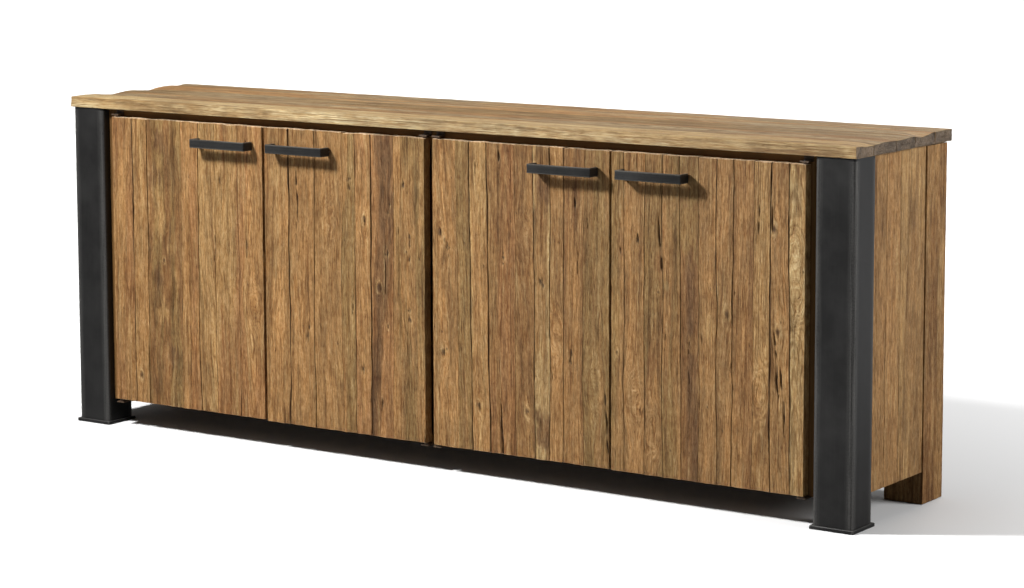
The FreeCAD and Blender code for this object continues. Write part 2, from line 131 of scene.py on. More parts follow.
# what stands out on the doors: plank, kind of flaw or tone of a patch, share of the plank's width from the
# left, share of its height, and how large
DOOR_FLAWS = {
    1: [(2, "knot", 0.4, 0.10), (3, "blond", 0.35, 0.69, 1.2), (3, "blond", 0.45, 0.63),
        (3, "blond", 0.7, 0.57), (3, "umber", 0.4, 0.93, 1.2), (3, "umber", 0.2, 0.80, 1.2),
        (3, "blond", 0.4, 0.33), (3, "umber", 0.7, 0.18), (3, "umber", 0.3, 0.45), (5, "crack", 0.9, 0.57),
        (6, "crack", 0.2, 0.80), (7, "crack", 0.35, 0.58), (7, "crack", 0.3, 0.95),
        (7, "swirl", 0.6, 0.40)],
    2: [(1, "blond", 0.5, 0.84), (2, "pits", 0.75, 0.31), (2, "groove", 0.3, 0.80),
        (3, "blond", 0.85, 0.20), (3, "swirl", 0.5, 0.70), (4, "crack", 0.75, 0.42),
        (4, "pits", 0.5, 0.84), (5, "hole", 0.4, 0.22), (5, "knot", 0.6, 0.72), (6, "knot", 0.34, 0.50),
        (6, "umber", 0.5, 0.62), (6, "pits", 0.7, 0.62), (6, "umber", 0.8, 0.93, 2.0),
        (6, "umber", 0.9, 0.76, 1.6), (6, "crack", 0.5, 0.12), (6, "pits", 0.8, 0.78),
        (7, "hole", 0.3, 0.84), (7, "pits", 0.5, 0.66), (7, "hole", 0.5, 0.60), (7, "pits", 0.5, 0.40),
        (7, "crack", 0.95, 0.03)],
    3: [(1, "knot", 0.3, 0.70), (1, "pits", 0.6, 0.65), (1, "knot", 0.4, 0.31), (3, "knot", 0.35, 0.15),
        (4, "hole", 0.45, 0.96), (4, "pits", 0.55, 0.65), (4, "brown", 0.4, 0.72, 1.5),
        (4, "groove", 0.45, 0.07), (5, "swirl", 0.6, 0.72), (5, "knot", 0.6, 0.15),
        (6, "pits", 0.45, 0.57), (6, "umber", 0.8, 0.86, 1.5), (6, "umber", 0.7, 0.10, 1.8),
        (7, "swirl", 0.5, 0.40), (8, "hole", 0.55, 0.83), (8, "pits", 0.4, 0.33), (9, "swirl", 0.4, 0.24),
        (9, "groove", 0.93, 0.14)],
    4: [(1, "crack", 0.75, 0.72), (1, "brown", 0.8, 0.72), (2, "hole", 0.66, 0.73),
        (2, "swirl", 0.6, 0.24), (3, "groove", 0.9, 0.70), (3, "brown", 0.8, 0.66),
        (3, "brown", 0.4, 0.35), (3, "swirl", 0.5, 0.14), (4, "straw", 0.2, 0.60, 0.5),
        (4, "blond", 0.6, 0.86), (5, "olive", 0.5, 0.78, 2.6), (5, "olive", 0.5, 0.93, 2.6),
        (5, "tan", 0.7, 0.42), (6, "blond", 0.6, 0.48), (7, "knot", 0.67, 0.53), (9, "crack", 0.33, 0.83),
        (9, "swirl", 0.4, 0.30), (10, "crack", 0.12, 0.83), (10, "knot", 0.2, 0.80),
        (10, "knot", 0.4, 0.49), (10, "groove", 0.35, 0.38), (10, "groove", 0.7, 0.28),
        (11, "swirl", 0.35, 0.74), (11, "swirl", 0.5, 0.60)],
}
# the top's boards, and the planks of each side, from front to back
TOP_LOOKS = [("pale", "straw", "even"), ("golden", "tan", "cathedral"), ("golden", "olive", "straight"),
             ("golden", "honey", "knotty"), ("golden", "tan", "straight")]
SIDE_LOOKS = [("tan", "honey", "straight"), ("honey", "honey", "straight"), ("tan", "blond", "knotty")]
POST_LOOK = ("brown", "tan", "straight")


@dataclass
class Edge:
    """One long edge of a plank: how open its joint is, from 0 to 1, how far it sways and leans, in
    millimetres, and whether it is an outer edge, with no joint."""

    opening: float = 0.3
    sway: float = 0.0
    seed: int = 0
    outer: bool = False
    lean: float = 0.0

    def offset(self, l, length):
        """How far the edge lies to the side of a straight one, in metres."""
        return MM * (self.sway * layered(l / 0.20, self.seed, 71, 4) + self.lean * (0.5 - l / length))


@dataclass
class Style:
    """How finely one kind of plank is modelled, and how worn it is. Lengths in millimetres."""

    # distances between points
    face_step: float = 1.6
    length_step: float = 5.0
    side_step: float = 6.0
    back_step: float = 14.0
    # wear: smallest and largest edge radius, how far the face is set back, its waves, the depth of the grain,
    # how many cracks and holes there are and how rough the ends are
    radius: tuple = (0.8, 2.2)
    inset: float = 0.3
    waves: float = 0.7
    raised: float = 1.1
    flaws: float = 1.0
    end_rough: float = 0.8
    end_colour: tuple = PALE_END_AND_HIGHLIGHT
    all_round: bool = False


DOOR_STYLE = Style(side_step=9.0, back_step=18.0)
SIDE_STYLE = Style(face_step=2.2, length_step=6.0, end_colour=GREY_END, flaws=0.8, inset=0.5)
TOP_STYLE = Style(face_step=2.6, length_step=10.0, side_step=3.0, radius=(1.0, 2.6), waves=0.9, raised=0.5,
                  flaws=0.7, end_rough=3.4, end_colour=GREY_END)
POST_STYLE = Style(face_step=3.2, length_step=6.0, side_step=3.2, back_step=3.2, radius=(3.0, 5.0), waves=1.6,
                   raised=0.5, flaws=0.5, end_rough=1.0, end_colour=GREY_END, all_round=True)


# ======== repeatable noise ========
# Large odd numbers that scatter the bits of a place and a seed
ACROSS_PRIME, ALONG_PRIME, SEED_PRIME = 374761393, 668265263, 974711
SCATTER = ((13, 1274126177), (16, -2048144777))
LOW_BITS = 0xFFFFFFFF


def hashed(ix, iy, seed):
    """A number from 0 to 1 for each whole-number place."""
    h = ix.astype(np.int64) * ACROSS_PRIME + iy.astype(np.int64) * ALONG_PRIME + seed * SEED_PRIME
    h = h & LOW_BITS
    for shift, factor in SCATTER:
        h = ((h ^ (h >> shift)) * factor) & LOW_BITS
    return (h ^ (h >> 15)) / LOW_BITS


def noise(x, y, seed):
    """Smooth noise from -1 to 1."""
    x, y = np.broadcast_arrays(np.asarray(x, float), np.asarray(y, float))
    ix, iy = np.floor(x), np.floor(y)
    fx, fy = x - ix, y - iy
    fx, fy = fx * fx * (3 - 2 * fx), fy * fy * (3 - 2 * fy)
    low = hashed(ix, iy, seed) * (1 - fx) + hashed(ix + 1, iy, seed) * fx
    high = hashed(ix, iy + 1, seed) * (1 - fx) + hashed(ix + 1, iy + 1, seed) * fx
    return (low * (1 - fy) + high * fy) * 2 - 1


def layered(x, y, seed, layers=3):
    """Several sizes of noise on top of one another, about -1 to 1."""
    total, share = 0.0, 1.0
    for k in range(layers):
        total = total + share * noise(np.asarray(x) * 2**k, np.asarray(y) * 2**k, seed + 17 * k)
        share *= 0.5
    return total / 1.5


def ramp(x, low, high):
    """0 below low, 1 above high, smooth between."""
    t = np.clip((x - low) / (high - low), 0, 1)
    return t * t * (3 - 2 * t)


def spot(a, l, centre_a, centre_l, size_a, size_l):
    """1 at a centre, fading to 0 round it."""
    return np.exp(-(((a - centre_a) / size_a) ** 2 + ((l - centre_l) / size_l) ** 2))


# ======== one plank's wood ========
class Wood:
    """The figure, flaws and colour of one plank, worked out from its look and a seed. Each pattern divides
    the place by its own size, in metres, and adds its own number to the seed."""

    # by figure: how far the fibres wander slowly and quickly, in millimetres, how many knots there are on a
    # plank as tall as a door, and how strong the large light and dark patches are
    WOBBLE = {"burl": 9.0, "knotty": 8.5, "cathedral": 4.5, "straight": 5.0, "even": 2.5}
    RIPPLE = {"burl": 4.5, "knotty": 3.0, "cathedral": 1.0, "straight": 1.9, "even": 0.5}
    KNOTS = {"burl": 1.0, "knotty": 1.2, "cathedral": 0.3, "straight": 0.1, "even": 0.1}
    PATCHES = {"burl": 0.42, "knotty": 0.22, "cathedral": 0.10, "straight": 0.14, "even": 0.03}

    def __init__(self, size, look, seed, flaws, placed=()):
        width, _, length = size
        self.seed = seed
        self.main, self.second, self.figure = np.array(TONES[look[0]]), np.array(TONES[look[1]]), look[2]
        rng = np.random.default_rng(seed)
        side = rng.choice([-1, 1])
        self.ring_width = rng.uniform(4.0, 8.5) * MM
        if self.figure == "cathedral":
            self.pith = (width * rng.uniform(0.35, 0.65), rng.uniform(8, 20) * MM)
            self.tilt = (rng.uniform(-0.02, 0.02), side * rng.uniform(0.03, 0.06))
        else:
            self.pith = (width / 2 + side * rng.uniform(90, 200) * MM, rng.uniform(10, 60) * MM)
            self.tilt = (rng.uniform(-0.02, 0.02), 0.0)
        self.knots, self.cracks, self.pits = [], [], []
        door_heights = length / DOOR_HEIGHT
        for _ in range(int(self.KNOTS[self.figure] * door_heights + rng.uniform(0, 1))):
            a, l = rng.uniform(0.15, 0.85) * width, rng.uniform(0.05, 0.95) * length
            self.knots.append((a, l, rng.uniform(2, 4) * MM, 1.0))
        for _ in range(int(flaws * rng.uniform(0.6, 2.6) * door_heights * (0.4 + width / 0.1))):
            a, l = rng.uniform(0.06, 0.94) * width, rng.uniform(0, 1) * length
            size = rng.uniform(25, 150) * MM
            wide, down = rng.uniform(0.35, 0.8) * MM, rng.uniform(1.0, 3.5) * MM
            self.cracks.append((a, l, size, wide, down, 0.0, int(rng.integers(1, SEEDS))))
        for _ in range(int(flaws * rng.uniform(1, 4) * door_heights)):
            a, l = rng.uniform(0.08, 0.92) * width, rng.uniform(0.02, 0.98) * length
            self.pits.append((a, l, rng.uniform(0.6, 1.3) * MM))
        self.lightness = rng.uniform(0.93, 1.07)
        self.slant = rng.uniform(-0.03, 0.03)
        self.patches = []
        for kind, across, up, *size in placed:
            self.place_flaw(kind, across * width, up * length, rng, *size)

    def place_flaw(self, kind, a, l, rng, size=1.0):
        """Adds a listed flaw. A crack is its place, length, width, depth, slant and seed; a knot is
        its place, size and darkness; a pit is its place and size; any other kind is a patch of that tone."""
        seed = int(rng.integers(1, SEEDS))
        if kind == "knot":
            self.knots.append((a, l, 6.0 * MM, 1.0))
            self.cracks.append((a + 2 * MM, l - 4 * MM, 32 * MM, 1.5 * MM, 3 * MM, 0.0, seed))
        elif kind == "swirl":
            self.knots.append((a, l, 13 * MM, 0.0))
        elif kind == "hole":
            self.pits.append((a, l, 2.6 * MM))
            self.cracks.append((a, l, 30 * MM, 2.2 * MM, 5 * MM, 0.0, seed))
        elif kind == "pits":
            for _ in range(4):
                pa, pl = a + rng.normal() * 3 * MM, l + rng.normal() * 11 * MM
                self.pits.append((pa, pl, rng.uniform(1.4, 2.8) * MM))
            self.cracks.append((a, l, 45 * MM, 1.4 * MM, 3 * MM, 0.06, seed))
        elif kind == "crack":
            self.cracks.append((a, l, 75 * MM, 1.5 * MM, 4 * MM, 0.02, seed))
        elif kind == "groove":
            self.cracks.append((a, l, 170 * MM, 2.1 * MM, 5 * MM, -0.06, seed))
        else:
            self.patches.append((a, l, size, np.array(TONES[kind])))

    def bend(self, a, l):
        """Place across the plank, following the fibres: they wander, and part round the knots."""
        wobble = self.WOBBLE[self.figure] * MM * layered(a / 0.06, l / 0.26, self.seed + 3, 2)
        ripple = self.RIPPLE[self.figure] * MM * layered(a / 0.018, l / 0.05, self.seed + 4, 2)
        bent = a + self.slant * l + wobble + ripple
        for ka, kl, size, _ in self.knots:
            bent = bent - (a - ka) * 0.8 * spot(a, l, ka, kl, 2.6 * size, 7 * size)
        return bent

    def rings(self, a, d, l):
        """Distance from the heart of the tree, in rings."""
        pa = self.pith[0] + self.tilt[0] * l
        pd = self.pith[1] + self.tilt[1] * l + 4 * MM * layered(l / 0.25, 0.5, self.seed + 5)
        r = np.hypot(self.bend(a, l) - pa, d - pd)
        for ka, kl, size, _ in self.knots:
            r = r + 2.4 * size * spot(a, l, ka, kl, 1.7 * size, 4.0 * size)
        return r / self.ring_width

    def knot_hearts(self, a, l):
        """1 in the dark middle of each knot."""
        mark = np.zeros(np.broadcast(a, l).shape)
        for ka, kl, size, dark in self.knots:
            far = np.hypot((a - ka) / size, (l - kl) / (1.6 * size))
            far = far + 0.25 * noise(a / 0.002, l / 0.004, self.seed)
            mark = np.maximum(mark, dark * (1 - ramp(far, 0.35, 1.15)))
        return mark

    def knot_rims(self, a, l):
        """1 in the pale ring round each knot."""
        mark = np.zeros(np.broadcast(a, l).shape)
        for ka, kl, size, dark in self.knots:
            far = np.hypot((a - ka) / size, (l - kl) / (1.8 * size))
            far = far + 0.5 * noise(a / 0.004, l / 0.007, self.seed + 6)
            mark = np.maximum(mark, dark * ramp(far, 0.8, 1.2) * (1 - ramp(far, 1.3, 1.9)))
        return mark

    def hole_highlights(self, a, l):
        """Pale patch beside each larger hole, offset across and towards the lower end of the plank: pale
        broken grain and a painted highlight where light falls on the hole's far wall.
        """
        mark = np.zeros(np.broadcast(a, l).shape)
        for pa, pl, size in self.pits:
            if size > 1.4 * MM:
                mark = np.maximum(mark, spot(a, l, pa + 1.4 * size, pl - 1.5 * size, 1.3 * size, 3.0 * size))
        return mark

    def cuts(self, a, l):
        """How deep the cracks and insect holes go, in metres."""
        deep = np.zeros(np.broadcast(a, l).shape)
        for ca, cl, size, wide, down, slant, seed in self.cracks:
            path = ca + slant * (l - cl)
            path = path + 2.4 * MM * noise(l / 0.035, 0.0, seed) + 3 * MM * noise(l / 0.2, 5.0, seed)
            taper = np.clip(1 - ((l - cl) / (size / 2)) ** 2, 0, 1)
            ragged = np.clip(0.8 + 0.8 * noise(l / 0.014, 3.0, seed), 0, 1)
            reach = wide * (0.35 + 0.65 * taper) * (0.9 + 0.5 * noise(l / 0.02, 7.0, seed))
            deep = np.maximum(deep, down * np.sqrt(taper) * ragged * np.exp(-(((a - path) / reach) ** 2)))
        for pa, pl, size in self.pits:
            deep = np.maximum(deep, 3.4 * MM * spot(a, l, pa, pl, 1.1 * size, 2.2 * size))
        return deep

    def colour(self, a, d, l, rings):
        """Tone of each point, before the material adds the fibres."""
        # second tone, patches, pale rims round knots, and pale broken grain with painted highlights beside
        # holes
        across = self.bend(a, l) + 0.6 * d
        blend = ramp(layered(across / 0.020, l / 0.40, self.seed + 11), -0.3, 0.35)
        tone = self.main + (self.second - self.main) * blend[..., None]
        ragged = 0.45 * layered(across / 0.006, l / 0.02, self.seed + 12)
        for pa, pl, size, target in self.patches:
            share = 0.85 * ramp(spot(a, l, pa, pl, 0.020 * size, 0.034 * size) + ragged, 0.35, 0.8)
            tone = tone + (target - tone) * share[..., None]
        # knot rims are paler wood; beside holes the pale patch is broken grain and a painted highlight
        tone = tone + (BLEACHED - tone) * 0.6 * np.maximum(self.knot_rims(a, l), self.hole_highlights(a, l))[..., None]

        # lighter and darker fibres
        streaks = layered(across / 0.0048, l / 0.11, self.seed + 13)
        flecks = layered(across / 0.006, l / 0.016, self.seed + 14)
        patch = layered(a / 0.03, l / 0.085, self.seed + 15)
        light = 1 + 0.28 * streaks + 0.18 * flecks + self.PATCHES[self.figure] * patch
        tone = tone * (self.lightness * light)[..., None]

        # dark veins and thin lines, bleached streaks, and rings
        vein = ramp(layered(across / 0.010, l / 0.35, self.seed + 17), 0.30, 0.70)
        tone = tone * (1 - (1 - VEIN) * 0.75 * vein[..., None])
        line = 1 - ramp(abs(layered(across / 0.009, l / 0.22, self.seed + 18)), 0.0, 0.14)
        line = line * ramp(layered(across / 0.02, l / 0.09, self.seed + 20), -0.2, 0.4)
        tone = tone * (1 - (1 - VEIN) * 0.65 * line[..., None])
        pale = ramp(layered(across / 0.007, l / 0.20, self.seed + 19), 0.30, 0.75)
        tone = tone + (BLEACHED - tone) * 0.42 * pale[..., None]
        late = ramp(np.sin(rings * 2 * math.pi), 0.2, 0.95)
        boldness = 0.80 if self.figure == "cathedral" else 0.50
        return tone * (1 - (1 - VEIN) * boldness * late[..., None])


# ======== one plank's mesh ========
# where the points next to an edge lie, and how far each row of an end face is drawn in to its middle line
EDGE_PLACES = np.array([0.0, 0.5, 1.1, 2.0, 3.2]) * MM
CAP_SHARES = np.array([0.04, 0.08, 0.15, 0.24, 0.36, 0.52, 0.72, 0.93])
# how many depths in the grain pattern, a metre apart, the planks are spread over
GRAIN_PLACES = 97


def spaced(size, step):
    """Places from 0 to size, closer together near both ends."""
    inner = size - 2 * EDGE_PLACES[-1]
    middle = EDGE_PLACES[-1] + np.linspace(0, inner, max(1, round(inner / step)) + 1)[1:-1]
    return np.concatenate([EDGE_PLACES, middle, (size - EDGE_PLACES)[::-1]])


def box_grid(width, depth, length, style):
    """Points all over a box: rows run along it and round both ends, columns run round its section."""
    front, back = spaced(width, style.face_step * MM), spaced(width, style.back_step * MM)
    side = spaced(depth, style.side_step * MM)
    nothing, full = np.zeros(len(side) - 1), np.full(len(side) - 1, width)
    across = np.concatenate([front[:-1], full, back[:0:-1], nothing])
    deep = np.concatenate([np.zeros(len(front) - 1), side[:-1], np.full(len(back) - 1, depth), side[:0:-1]])
    along = spaced(length, style.length_step * MM)
    shrink = np.concatenate([CAP_SHARES[::-1], np.zeros(len(along)), CAP_SHARES])[:, None]
    a = across + (np.clip(across, depth / 2, width - depth / 2) - across) * shrink
    d = deep + (depth / 2 - deep) * shrink
    rows = np.concatenate([np.zeros(len(CAP_SHARES)), along, np.full(len(CAP_SHARES), length)])
    return a, d, rows[:, None] + 0 * a


def grid_faces(rows, columns):
    """Quads between rows of points that each go round, and the two end faces."""
    index = np.arange(rows * columns).reshape(rows, columns)
    low, high = index[:-1], index[1:]
    quads = np.stack([low, high, np.roll(high, -1, 1), np.roll(low, -1, 1)], -1).reshape(-1, 4).tolist()
    return quads + [index[0].tolist(), index[-1][::-1].tolist()]


def joint_dirt_and_shade(a, d, l, width, opening, seed):
    """Dirt and painted shade along a plank's joints: broken up on its face, with a wider band on its far edge
    (the right edge on the doors) as painted shade on the side away from the light, and half dark on its faces
    inside the joints.
    """
    edge_far = np.minimum(1.6 * a, width - a)
    dirt_and_shade = (1 - ramp(edge_far, 0.4 * MM, (0.9 + 2.6 * opening) * MM)) * (0.4 + 0.6 * opening)
    dirt_and_shade = dirt_and_shade * (1 + 0.6 * noise(l / 0.05, a, seed + 35))
    dirt_and_shade = dirt_and_shade * ramp(opening + 0.45 * layered(l / 0.08, a / 0.05, seed + 36), 0.1, 0.8)
    return np.where(d > 2 * MM, 0.5, dirt_and_shade)


def plank(name, place, size, look, seed, style, edges=(Edge(), Edge()), inset=None, shape=None, placed=()):
    """A worn plank. Its place is a corner and its across, depth and long directions, and its size is its
    width, depth and length. A shape gives how far each point is sunk and how much both ends are cut."""
    corner, *directions = place
    width, depth, length = size
    wood = Wood(size, look, seed, style.flaws, placed)
    a0, d0, l0 = box_grid(width, depth, length, style)
    second_half = ramp(a0, 0.3 * width, 0.7 * width)
    opening = edges[0].opening + (edges[1].opening - edges[0].opening) * second_half
    hidden = (not edges[0].outer) * (1 - second_half) + (not edges[1].outer) * second_half

    # edges rounded by wear: each point near an edge moves onto a ball that rolls inside the box
    lumps = 0.5 + 0.5 * layered(l0 / 0.06, a0 / 0.05 + d0 / 0.02, seed + 21)
    least, most = style.radius
    radius = (least * (0.3 + opening) + (most - least) * 1.2 * lumps * opening) * MM
    point = np.stack([a0, d0, l0], -1)
    inner = np.clip(point, radius[..., None], np.array(size) - radius[..., None])
    outward = (point - inner) / np.linalg.norm(point - inner, axis=-1, keepdims=True)

    # the faces: raised grain, cracks and holes, and rough ends
    rings = wood.rings(a0, d0, l0)
    cuts = wood.cuts(a0, l0)
    if style.all_round:
        cuts = np.where(abs(outward[..., 0]) > 0.7, wood.cuts(d0, l0), cuts)
    fibre = wood.bend(a0, l0) + d0
    furrows = layered(fibre / 0.0055, l0 / 0.10, seed + 29)
    hollows = layered(fibre / 0.008, l0 / 0.020, seed + 30)
    grain = 0.5 + (0.6 * np.sin(rings * 2 * math.pi) + 1.2 * furrows + 1.3 * hollows) / 4
    ending = abs(outward[..., 2])
    rough = style.end_rough * MM * (0.6 + 0.6 * layered(a0 / 0.022, d0 / 0.018, seed + 31))
    pressed = (1 - ending) * (style.raised * MM * grain + cuts) + ending * np.clip(rough, 0, None)
    a, d, l = np.moveaxis(inner + outward * (radius - pressed)[..., None], -1, 0)

    # the whole plank: edges that wander, faces that wave, and its step behind the next plank
    worn = [edge.opening**3 * (0.2 + 5.0 * (0.5 + 0.5 * layered(l0 / 0.07, row, seed + 23)) ** 3) * MM
            for edge, row in zip(edges, (1.0, 9.0))]
    start = edges[0].offset(l0, length) + worn[0]
    a = start + a * (1 + (edges[1].offset(l0, length) - worn[1] - start) / width)
    step = (style.inset if inset is None else inset) * MM
    sunk = step + style.waves * MM * (0.5 + 0.5 * layered(a0 / 0.045, l0 / 0.20, seed + 27))
    low_cut, high_cut = 0.3 * MM, 0.3 * MM + 1.4 * MM * (0.5 + 0.5 * layered(a0 / 0.02, seed, seed + 33))
    if shape:
        more_sunk, low_cut, high_cut = shape(a0, d0, l0)
        sunk = sunk + more_sunk
    d = sunk + d * (1 - sunk / depth)
    l = low_cut + l * (1 - (low_cut + high_cut) / length)

    # colour: dirt and painted shade in cracks and joints, dark knot hearts, and ends of another colour
    tone = wood.colour(a0, d0, l0, rings)
    # on the doors the end colour is pale end grain with a painted highlight; elsewhere it is grey end grain
    end_share = ramp(ending, 0.25, 0.75)[..., None]
    end_tone = np.array(style.end_colour) * (tone.mean(-1, keepdims=True) / MEAN_TONE)
    tone = tone * (1 - end_share) + end_share * end_tone
    # dirt and painted shade: along the joints, wider on each plank's far edge, and darker the deeper a crack
    # or hole goes
    dirt_and_shade = joint_dirt_and_shade(a0, d0, l0, width, opening, seed) * hidden * (1 - ending)
    dark = np.clip(np.maximum(ramp(cuts, 0.5 * MM, 2.6 * MM), dirt_and_shade), 0, 1)
    dark = np.maximum(dark, 0.85 * wood.knot_hearts(a0, l0) * (1 - ending))

    points = np.array(corner)
    for distance, direction in zip((a, d, l), directions):
        points = points + distance[..., None] * direction
    faces = grid_faces(*a.shape)
    if np.dot(np.cross(directions[0], directions[1]), directions[2]) > 0:
        faces = [face[::-1] for face in faces]
    piece = mesh_piece(name, points.reshape(-1, 3), faces)
    add_attribute(piece, "tone", tone)
    add_attribute(piece, "grain", np.stack([wood.bend(a0, l0), d0 + seed % GRAIN_PLACES, l0], -1))
    add_attribute(piece, "ring", rings)
    add_attribute(piece, "dark", dark)
    return piece


def mesh_piece(name, points, faces, smooth_angle=50):
    """Smooth-shaded mesh object with sharp edges where its faces turn by more than an angle, in degrees."""
    mesh = bpy.data.meshes.new(name)
    mesh.from_pydata(np.asarray(points).tolist(), [], faces)
    mesh.polygons.foreach_set("use_smooth", [True] * len(mesh.polygons))
    mesh.set_sharp_from_angle(angle=math.radians(smooth_angle))
    piece = bpy.data.objects.new(name, mesh)
    bpy.context.scene.collection.objects.link(piece)
    return piece


def add_attribute(piece, name, values):
    """Gives each of a mesh's points a number or three, for its material."""
    values = np.asarray(values, np.float32)
    vector = values.size == 3 * len(piece.data.vertices)
    attribute = piece.data.attributes.new(name, "FLOAT_VECTOR" if vector else "FLOAT", "POINT")
    attribute.data.foreach_set("vector" if vector else "value", np.ascontiguousarray(values).ravel())


# ======== materials ========
class Nodes:
    """Short ways to add shader nodes."""

    def __init__(self, name):
        self.material = bpy.data.materials.new(name)
        self.material.use_nodes = True
        self.tree = self.material.node_tree
        self.shader = self.tree.nodes["Principled BSDF"]

    def add(self, kind, inputs=(), **settings):
        node = self.tree.nodes.new(kind)
        for key, value in settings.items():
            setattr(node, key, value)
        for key, value in dict(inputs).items():
            self.put(node.inputs[key], value)
        return node

    def put(self, socket, value):
        """Links a node's output to a socket, or sets the socket to a plain value."""
        if isinstance(value, bpy.types.NodeSocket):
            self.tree.links.new(value, socket)
        else:
            socket.default_value = value

    def set(self, name, value):
        self.put(self.shader.inputs[name], value)

    def attribute(self, name, output="Fac"):
        return self.add("ShaderNodeAttribute", attribute_name=name).outputs[output]

    def place(self):
        return self.add("ShaderNodeTexCoord").outputs["Object"]

    def math(self, operation, a, b=0.0):
        return self.add("ShaderNodeMath", {0: a, 1: b}, operation=operation).outputs[0]

    def times(self, a, b):
        return self.math("MULTIPLY", a, b)

    def plus(self, a, b):
        return self.math("ADD", a, b)

    def scaled(self, vector, scale):
        return self.add("ShaderNodeVectorMath", {0: vector, 1: scale}, operation="MULTIPLY").outputs[0]

    def noise(self, vector, scale=1.0, detail=2.0, roughness=0.5):
        inputs = {"Vector": vector, "Scale": scale, "Detail": detail, "Roughness": roughness}
        return self.add("ShaderNodeTexNoise", inputs).outputs["Fac"]

    def range(self, value, low, high, to_low=0.0, to_high=1.0):
        inputs = {"Value": value, "From Min": low, "From Max": high, "To Min": to_low, "To Max": to_high}
        return self.add("ShaderNodeMapRange", inputs).outputs["Result"]

    def mix(self, factor, a, b, blend="MIX"):
        node = self.tree.nodes.new("ShaderNodeMix")
        node.data_type, node.blend_type = "RGBA", blend
        self.put(node.inputs[0], factor)
        self.put(node.inputs[6], (*a, 1.0) if isinstance(a, tuple) else a)
        self.put(node.inputs[7], (*b, 1.0) if isinstance(b, tuple) else b)
        return node.outputs[2]

    def bump(self, height, strength, distance):
        node = self.add("ShaderNodeBump", {"Height": height, "Strength": strength, "Distance": distance})
        self.set("Normal", node.outputs["Normal"])


def toned(colour, factor):
    return tuple(factor * c for c in colour)


def teak_material(name, gloss=0.25, contrast=1.0, stretch=1.0):
    """Matt waxed teak: the mesh carries tone, dirt with painted shade, and ring number, and the nodes add
    fibres and pores.
    Stretched wood has them that many times longer."""
    n = Nodes(name)
    grain = n.scaled(n.attribute("grain", "Vector"), (1, 1, 1 / stretch))
    wander = n.range(n.noise(n.scaled(grain, (45, 45, 32))), 0.0, 1.0, -2.5 * MM, 2.5 * MM)
    aside = n.add("ShaderNodeCombineXYZ", {0: wander}).outputs[0]
    fibre = n.add("ShaderNodeVectorMath", {0: grain, 1: aside}, operation="ADD").outputs[0]

    # patterns, each so many to the metre across, into and along the wood
    fine = n.noise(n.scaled(fibre, (800, 800, 36)), detail=3.0, roughness=0.6)
    broad = n.noise(n.scaled(fibre, (300, 300, 13)), detail=3.0, roughness=0.6)
    mottled = n.noise(n.scaled(fibre, (210, 210, 75)), detail=4.0, roughness=0.65)
    checks = n.range(n.noise(n.scaled(fibre, (430, 430, 26))), 0.60, 0.70)
    pore = n.range(n.noise(n.scaled(fibre, (900, 900, 130)), detail=1.0), 0.58, 0.68)
    ridge = n.math("ABSOLUTE", n.plus(n.noise(n.scaled(fibre, (170, 170, 7)), detail=1.0), -0.5))
    gate = n.range(n.noise(n.scaled(fibre, (60, 60, 16)), detail=1.0), 0.42, 0.58)
    seam = n.times(n.range(ridge, 0.0, 0.045, 1.0, 0.0), gate)
    ring = n.plus(n.attribute("ring"), n.times(broad, 0.9))
    late = n.range(n.math("SINE", n.times(ring, 2 * math.pi)), 0.2, 1.0)

    # colour: each pattern lightens and darkens the tone, red less and blue more
    shade = n.range(fine, 0.3, 0.7, 1 - 0.24 * contrast, 1 + 0.20 * contrast)
    shade = n.times(shade, n.range(broad, 0.3, 0.7, 1 - 0.31 * contrast, 1 + 0.27 * contrast))
    shade = n.times(shade, n.range(mottled, 0.3, 0.7, 1 - 0.35 * contrast, 1 + 0.31 * contrast))
    lines = ((late, 0.16 * contrast), (checks, 0.34 * contrast), (pore, 0.34), (seam, 0.45 * contrast))
    for dark_line, depth in lines:
        shade = n.times(shade, n.range(dark_line, 0.0, 1.0, 1.0, 1 - depth))
    less_red, more_blue = n.math("POWER", shade, 0.70), n.math("POWER", shade, 1.45)
    tint = n.add("ShaderNodeCombineXYZ", {0: less_red, 1: shade, 2: more_blue}).outputs[0]
    colour = n.mix(1.0, n.attribute("tone", "Vector"), tint, "MULTIPLY")
    # the dark attribute mixes in dirt and painted shade in cracks and joints, and the dark knot hearts
    n.set("Base Color", n.mix(n.range(n.attribute("dark"), 0.05, 1.0, 0.0, 0.90), colour, DIRT_AND_SHADE))
    n.set("Roughness", n.range(fine, 0.3, 0.7, 0.56, 0.74))
    n.set("Specular IOR Level", gloss)

    height = n.times(fine, 0.5)
    reliefs = ((pore, -0.4), (broad, 0.6), (mottled, 1.4), (checks, -0.5), (seam, -0.8), (late, -0.3))
    for pattern, relief in reliefs:
        height = n.plus(height, n.times(pattern, relief))
    n.bump(height, 1.0, 1.1 * MM)
    return n.material


def stained_wood_material(name, colour, along=0):
    """Brown stained inner wood with fine grain along one axis, from its place in the object."""
    n = Nodes(name)
    scale = [420.0, 420.0, 420.0]
    scale[along] = 7.0
    fine = n.noise(n.scaled(n.place(), tuple(scale)), detail=4.0, roughness=0.6)
    broad = n.noise(n.scaled(n.place(), tuple(s / 6 for s in scale)), detail=3.0)
    tint = n.mix(n.range(fine, 0.3, 0.7), toned(colour, 0.55), toned(colour, 1.25))
    n.set("Base Color", n.mix(n.range(broad, 0.35, 0.65, 0.0, 0.5), tint, toned(colour, 1.6)))
    n.set("Roughness", n.range(fine, 0.3, 0.7, 0.5, 0.7))
    n.set("Specular IOR Level", 0.12)
    n.bump(fine, 0.3, 0.2 * MM)
    return n.material


